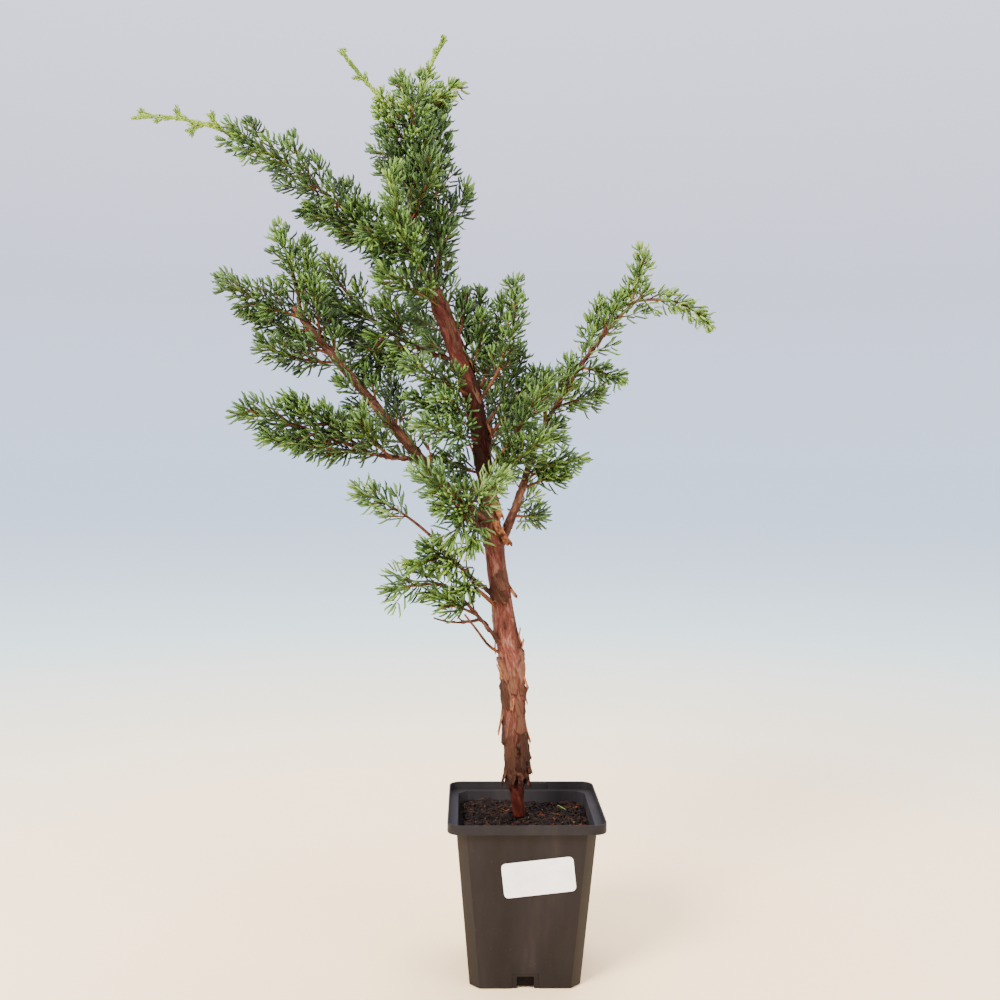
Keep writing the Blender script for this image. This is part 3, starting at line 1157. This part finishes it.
def grown(dice, start, way, aim, length, bend):
    """The points of a twig that sets off one way and turns towards its aim."""
    steps = max(3, round(length / 0.004))
    points = [start]
    for _ in range(steps):
        sway = Vector((dice.gauss(0, 1), dice.gauss(0, 1), dice.gauss(0, 1))) * 0.08
        way = (way + aim * bend / steps + sway).normalized()
        points.append(points[-1] + way * length / steps)
    return points


def grow_shoot(dice, start, way, aim, length, size, tone, fresh):
    """One leafy shoot with shorter side shoots to its left and right in turn."""
    points = grown(dice, start, way, aim, length, 0.5)
    if not has_room(points[-1]):
        return
    kind = "green" if dice.random() < fresh + 0.1 else "brown"
    twigs[kind].append((points, SHOOT_RADIUS, SHOOT_RADIUS * 0.6))
    add_needles(dice, points, size, tone, fresh, 0.06)
    path = Path(points, [0] * len(points))
    count = int(length / BRANCH_GAP)
    plane = way.cross(aim)
    plane = plane.normalized() if plane.length > 0.1 else way.orthogonal().normalized()
    for number in range(1, count):
        share = number / count
        foot, along, _ = path.at(share)
        side = Matrix.Rotation(dice.gauss(0, 0.5), 3, along) @ plane * (1 if number % 2 else -1)
        branch_way = along * math.cos(BRANCH_LEAN) + side * math.sin(BRANCH_LEAN)
        branch_length = length * BRANCH_SHARE * (1 - 0.5 * share) * dice.uniform(0.8, 1.2)
        branch = grown(dice, foot, branch_way, along, branch_length, 0.4)
        if has_room(branch[-1]):
            twigs["green"].append((branch, SHOOT_RADIUS * 0.8, SHOOT_RADIUS * 0.5))
            add_needles(dice, branch, size * 0.9, tone, fresh + 0.06, 0.12)


def straight_twig(start, way, length):
    return [start + way * length * step / 3 for step in range(4)]


def grow_whip(dice, stem, mass, turn):
    """The outer part of a stem: pressed leaves, and twiglets with two lobes each, in a loose fan."""
    shares = [mass.whip + (STEM_END - mass.whip) * step / 10 for step in range(11)]
    points = [stem.at(share)[0] for share in shares]
    fresh = max(0.84, mass.fresh)
    twigs["lime"].append((points, STEM_RADIUS, STEM_RADIUS * 0.75))
    add_scales(dice, points, fresh, 0.0026, 9)
    count = max(3, round((1 - mass.whip) * stem.length / TWIGLET_GAP))
    for number in range(1, count + 1):
        share = mass.whip + (STEM_END - mass.whip) * (number - 0.4 * dice.random()) / count
        point, along, _ = stem.at(share)
        side = side_at(stem, along, turn + number * GOLDEN_ANGLE)
        side = (side + Vector((0, 0, 1.3 if number % 2 else -1.3))).normalized()
        lean = 0.75 - 0.35 * number / count
        way = (along * math.cos(lean) + side * math.sin(lean)).normalized()
        twiglet = straight_twig(point, way, dice.uniform(*TWIGLET_LENGTHS) * (1 - 0.3 * number / count))
        if not has_room(twiglet[-1]):
            continue
        lobes = [twiglet]
        for turned in (-LOBE_TURN, LOBE_TURN):
            lobe_way = Matrix.Rotation(turned, 3, along.cross(side)) @ way
            lobes.append(straight_twig(twiglet[1 if turned < 0 else 2], lobe_way, LOBE_LENGTH))
        for lobe in lobes:
            twigs["lime"].append((lobe, *LOBE_RADII))
            add_scales(dice, lobe, fresh + 0.03, 0.0030, 15)


def grow_mass(name, mass):
    """The stem of one mass, and the shoots that wind up it by the golden angle."""
    dice = random.Random(name)
    start, _, _ = paths[mass.parent].at(mass.share)
    stem = bowed_path(start, Vector(mass.bow) * MM, Vector(mass.tip) * MM, STEM_RADIUS, STEM_RADIUS * 0.5)
    top = min(STEM_END, mass.whip)
    stem_points = [stem.at(top * step / 12)[0] for step in range(13)]
    twigs["brown"].append((stem_points[:9], STEM_RADIUS, STEM_RADIUS * 0.7))
    twigs["green"].append((stem_points[8:], STEM_RADIUS * 0.7, STEM_RADIUS * 0.5))
    size = mass.needle * MM * NEEDLE_SHARE
    add_needles(dice, stem_points[4:], size * 0.9, mass.tone, mass.fresh + 0.05)
    turn = dice.uniform(0, 2 * math.pi)
    leafy = top - mass.bare
    gap = SHOOT_GAP * (LONG_NEEDLE_GAP if mass.needle > LONG_NEEDLE else 1.0)
    count = round(leafy * stem.length / gap)
    for number in range(count):
        share = mass.bare + leafy * (number + 0.5) / count
        point, along, _ = stem.at(share)
        side = side_at(stem, along, turn + number * GOLDEN_ANGLE)
        lift = Vector((0, 0, SHOOT_LIFT))
        lean = SHOOT_LEAN * (1 - 0.35 * share)
        way = (along * math.cos(lean) + side * math.sin(lean) + lift).normalized()
        past_tip = 1 - 0.35 * max(0.0, share / top - 0.75) / 0.25
        narrow = 1 - min(mass.taper, 0.5) * share
        length = mass.reach * MM * SHOOT_SHARE * narrow * past_tip * dice.uniform(0.62, 1.08)
        fresh = mass.fresh + 0.20 * (share - 0.5) + dice.gauss(0, 0.08)
        aim = along - 0.15 * lift
        grow_shoot(dice, point, way, aim, length, size * (0.6 + 0.4 * narrow), mass.tone, fresh)
    if mass.whip < 1:
        grow_whip(dice, stem, mass, turn)


def grow_spray(spray):
    """Short shoots that stand straight on a limb."""
    dice = random.Random(f"{spray.limb}_spray")
    path = paths[spray.limb]
    turn = dice.uniform(0, 2 * math.pi)
    count = round((spray.high - spray.low) * path.length / (spray.gap * MM))
    for number in range(count):
        share = spray.low + (spray.high - spray.low) * (number + dice.random()) / count
        point, along, radius = path.at(share)
        side = side_at(path, along, turn + number * GOLDEN_ANGLE)
        if spray.limb == "trunk" and side.y < -0.25:
            continue
        way = (along * math.cos(SPRAY_LEAN) + side * math.sin(SPRAY_LEAN)).normalized()
        length = spray.length * MM * dice.uniform(0.7, 1.25)
        fresh = spray.fresh + dice.gauss(0, 0.08)
        start = point + side * radius * 0.6
        size = spray.needle * MM * NEEDLE_SHARE
        grow_shoot(dice, start, way, along + Vector((0, 0, 0.3)), length, size, "green", fresh)


for name, mass in (*MASSES.items(), *TWIGS.items()):
    grow_mass(name, mass)
for spray in SPRAYS:
    grow_spray(spray)
# Leafless twigs: the points each runs through in mm, and its radius at the foot
BARE_TWIGS = (
    (((-15, 1, 227), (-25, -6, 234), (-30, -10, 240), (-36, -16, 249), (-44, -22, 260)), 1.3),
    (((-34, -14, 246), (-39, -18, 253), (-46, -22, 256)), 0.8),
    (((-20, 0, 262), (-33, -14, 275), (-37, -17, 279), (-37, -19, 283)), 2.0),
    (((-37, -12.8, 260.7), (-42, -24, 284), (-43, -28, 300), (-42, -32, 313)), 0.7),
    (((-43, -15, 267.3), (-48, -20, 266.5), (-55, -27, 266), (-61, -32, 266)), 0.9),
    (((-45, -14, 253.3), (-48, -18, 257), (-50, -20, 262)), 0.8),
    (((-52, -4, 454), (-47, -7, 463), (-49, -9, 472)), 0.7),
    (((-47, -7, 463), (-40, -4, 466)), 0.6),
    (((-70, -7, 363), (-69, -14, 373), (-75, -18, 387)), 0.7),
)
for rows, radius in BARE_TWIGS:
    bare_path = Path([Vector(row) * MM for row in rows], [radius * MM] * len(rows))
    points = [bare_path.at(step / 8)[0] for step in range(9)]
    twigs["brown"].append((points, radius * MM, radius * 0.55 * MM))
FALLEN_NEEDLE = [[0, 0, 0.0070, 0.0255], [0.0009, 0, -0.0060, 0.0200], [0, 0.0009, -0.0025, 0.1115]]
needles["fresh"].append(FALLEN_NEEDLE)


def needle_rod(point):
    """A three-sided rod from its root at 0 to its blunt tip at 1, bowed a little outward."""
    if abs(point.z) > 0.9:
        return Vector((0, 0, (point.z + 1) / 2))
    height, width = (0.80, 0.50) if point.z > 0 else (0.14, 0.44)
    spread = math.hypot(point.x, point.y)
    return Vector((point.x / spread * width, point.y / spread * width * 0.8 + 0.75, height))


def three_sided_ball():
    bpy.ops.mesh.primitive_uv_sphere_add(segments=3, ring_count=3, radius=1)


def twig_mesh(rows, sides):
    """The points and triangles of many thin twigs with closed ends."""
    corners = []
    faces = []
    for points, foot_radius, tip_radius in rows:
        base = len(corners)
        count = len(points)
        for number, point in enumerate(points):
            along = (points[min(number + 1, count - 1)] - points[max(number - 1, 0)]).normalized()
            first = along.cross(Vector((0.31, 0.95, 0.05))).normalized()
            second = along.cross(first)
            radius = foot_radius + (tip_radius - foot_radius) * number / (count - 1)
            for side in range(sides):
                angle = 2 * math.pi * side / sides
                corners.append(point + (first * math.cos(angle) + second * math.sin(angle)) * radius)
        for number in range(count - 1):
            for side in range(sides):
                a = base + number * sides + side
                b = base + number * sides + (side + 1) % sides
                faces.append((a, b, b + sides))
                faces.append((a, b + sides, a + sides))
        last = base + (count - 1) * sides
        for side in range(1, sides - 1):
            faces.append((base, base + side + 1, base + side))
            faces.append((last, last + side, last + side + 1))
    return np.array(corners, np.float32), np.array(faces, np.int32)


def needle_finish(tint, dark, light):
    finish, shader = new_finish(f"{tint}_needle", 0.42, 0.24)
    place = pattern_place(finish)
    coat(finish, shader, graded(finish, cloud(finish, place, 230, 3, 0.6), [(0.34, dark), (0.66, light)]))
    return finish


rod = small_model(three_sided_ball, needle_rod)
MOST_FACES = 190000
leafy_nodes = list(MASSES)
for tint, rows in needles.items():
    finish = needle_finish(tint, *NEEDLE_TINTS[tint])
    pieces = max(1, math.ceil(len(rows) * len(rod[1]) / MOST_FACES))
    for number in range(pieces):
        part = rows[number::pieces]
        piece = joined(f"{tint}_needles_{number + 1}", *copies(rod, part), finish, "needles")
        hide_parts(*leafy_nodes)
for kind, (dark, light, sides) in TWIG_TINTS.items():
    finish = stain(f"{kind}_twig_skin", dark, light, 150, 0.7)
    piece = joined(f"{kind}_twigs", *twig_mesh(twigs[kind], sides), finish, "needles")
    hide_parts(*leafy_nodes)

# Floor, light and camera
# A plain pale floor under a pale sky, one broad soft lamp to the left of the camera, a weaker one
# to the right and one above, and the camera where the photographer stood.
FLOOR_RADIUS = 60.0
CAMERA_PLACE = (-0.04149, -0.84920, 0.37260)
CAMERA_PITCH = math.radians(2.20)
CAMERA_YAW = math.radians(-1.51)
CAMERA_ROLL = math.radians(0.41)
CAMERA_LENS = 42.48
LAMPS = (
    ("key_lamp", (-1.4, -1.6, 1.7), 1.0, 175),
    ("fill_lamp", (1.6, -1.3, 0.9), 1.2, 34),
    ("top_lamp", (0.2, 0.5, 2.2), 1.4, 60),
)
LAMP_COLOUR = (1.0, 0.93, 0.83)
LAMP_AIM = Vector((-0.05, 0, 0.34))
FLOOR_TONES = [
    (0.0, paint(255, 226, 178)),
    (0.12, paint(255, 234, 198)),
    (0.40, paint(214, 240, 240)),
    (1.0, paint(226, 246, 255)),
]
SKY_TONES = ((0.0, (0.62, 0.74, 0.98, 1)), (0.14, (0.64, 0.66, 0.86, 1)), (0.34, (0.80, 0.80, 0.98, 1)))


def floor_paint():
    finish, shader = new_finish("pale_floor", 0.85, 0.2)
    place = pattern_place(finish)
    length = finish.node_tree.nodes.new("ShaderNodeVectorMath")
    length.operation = "LENGTH"
    finish.node_tree.links.new(place, length.inputs[0])
    far = finish.node_tree.nodes.new("ShaderNodeMapRange")
    far.inputs["From Min"].default_value = 0.1
    far.inputs["From Max"].default_value = 4.0
    finish.node_tree.links.new(length.outputs["Value"], far.inputs["Value"])
    coat(finish, shader, graded(finish, far.outputs["Result"], FLOOR_TONES))
    return finish


bpy.ops.object.select_all(action="DESELECT")
bpy.ops.mesh.primitive_circle_add(
    vertices=128, radius=FLOOR_RADIUS, fill_type="NGON", location=(0, 0, -0.0005)
)
floor = bpy.context.object
floor.name = "floor"
floor.data.materials.append(floor_paint())

sky = bpy.data.worlds.new("pale_sky")
bpy.context.scene.world = sky
sky.use_nodes = True
sky_nodes, sky_links = sky.node_tree.nodes, sky.node_tree.links
upward = sky_nodes.new("ShaderNodeSeparateXYZ")
sky_links.new(sky_nodes.new("ShaderNodeTexCoord").outputs["Generated"], upward.inputs["Vector"])
tones = sky_nodes.new("ShaderNodeValToRGB")
while len(tones.color_ramp.elements) < len(SKY_TONES):
    tones.color_ramp.elements.new(0.5)
for element, (place, colour) in zip(tones.color_ramp.elements, SKY_TONES):
    element.position = place
    element.color = colour
sky_links.new(upward.outputs["Z"], tones.inputs["Fac"])
sky_links.new(tones.outputs["Color"], sky_nodes["Background"].inputs["Color"])
sky_nodes["Background"].inputs["Strength"].default_value = 1.8

for name, place, size, power in LAMPS:
    aim = LAMP_AIM - Vector(place)
    bpy.ops.object.light_add(type="AREA", location=place, rotation=aim.to_track_quat("-Z", "Y").to_euler())
    lamp = bpy.context.object
    lamp.name = name
    lamp.data.shape = "DISK"
    lamp.data.size = size
    lamp.data.energy = power
    lamp.data.color = LAMP_COLOUR

level_view = Matrix.Rotation(CAMERA_YAW, 3, "Z") @ Matrix.Rotation(math.pi / 2 - CAMERA_PITCH, 3, "X")
rolled_view = level_view @ Matrix.Rotation(CAMERA_ROLL, 3, "Z")
bpy.ops.object.camera_add(location=CAMERA_PLACE, rotation=rolled_view.to_euler())
camera = bpy.context.object
camera.name = "photo_camera"
camera.data.lens = CAMERA_LENS
camera.data.sensor_width = 36
camera.data.clip_start = 0.02
bpy.context.scene.camera = camera
